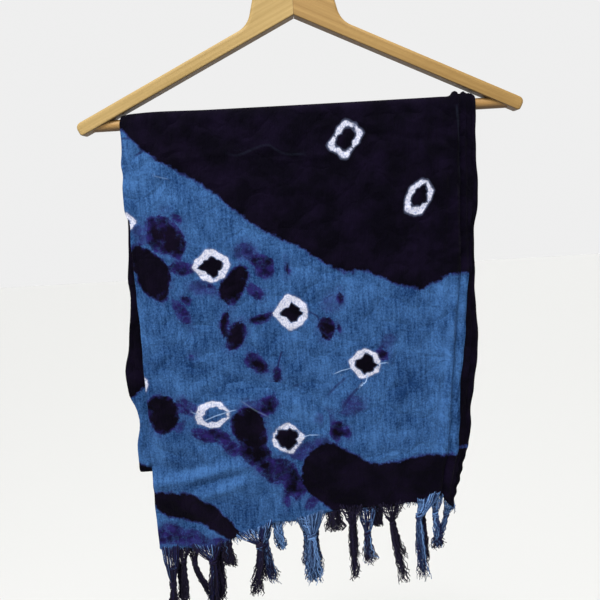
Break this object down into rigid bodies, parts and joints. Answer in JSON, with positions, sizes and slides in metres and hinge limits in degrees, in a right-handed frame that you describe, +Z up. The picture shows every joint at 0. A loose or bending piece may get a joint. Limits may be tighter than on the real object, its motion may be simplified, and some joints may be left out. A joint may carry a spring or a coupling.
{
  "type": "dupatta stole on a wooden trouser hanger",
  "caption": "Tie-dyed indigo dupatta stole with knotted fringes, folded and hung over the bar of a wooden trouser hanger with a steel hook.",
  "frame": {"origin": "inner top of the hanger's hook, where a rail or wall hook carries it", "axes": "+Z up, +X to the right seen from the front, the front of the cloth faces -Y"},
  "size_m": [0.443, 0.0336, 0.765],
  "materials": {
    "varnished_pine": "clear satin varnish",
    "bright_steel": "bright plated wire",
    "indigo_cloth": "soft matt cotton, tie-dyed",
    "indigo_yarn": "loose twisted cotton yarn"
  },
  "bodies": {
    "root": {"hanger_arm_left": "varnished_pine", "hanger_arm_right": "varnished_pine", "hanger_bar": "varnished_pine", "hanger_hook": "bright_steel", "stole_outer_run": "indigo_cloth", "stole_inner_run": "indigo_cloth", "fringe_a1": "indigo_yarn", "fringe_b1": "indigo_yarn", "fringe_b2": "indigo_yarn", "fringe_a2": "indigo_yarn"}
  },
  "joints": []
}
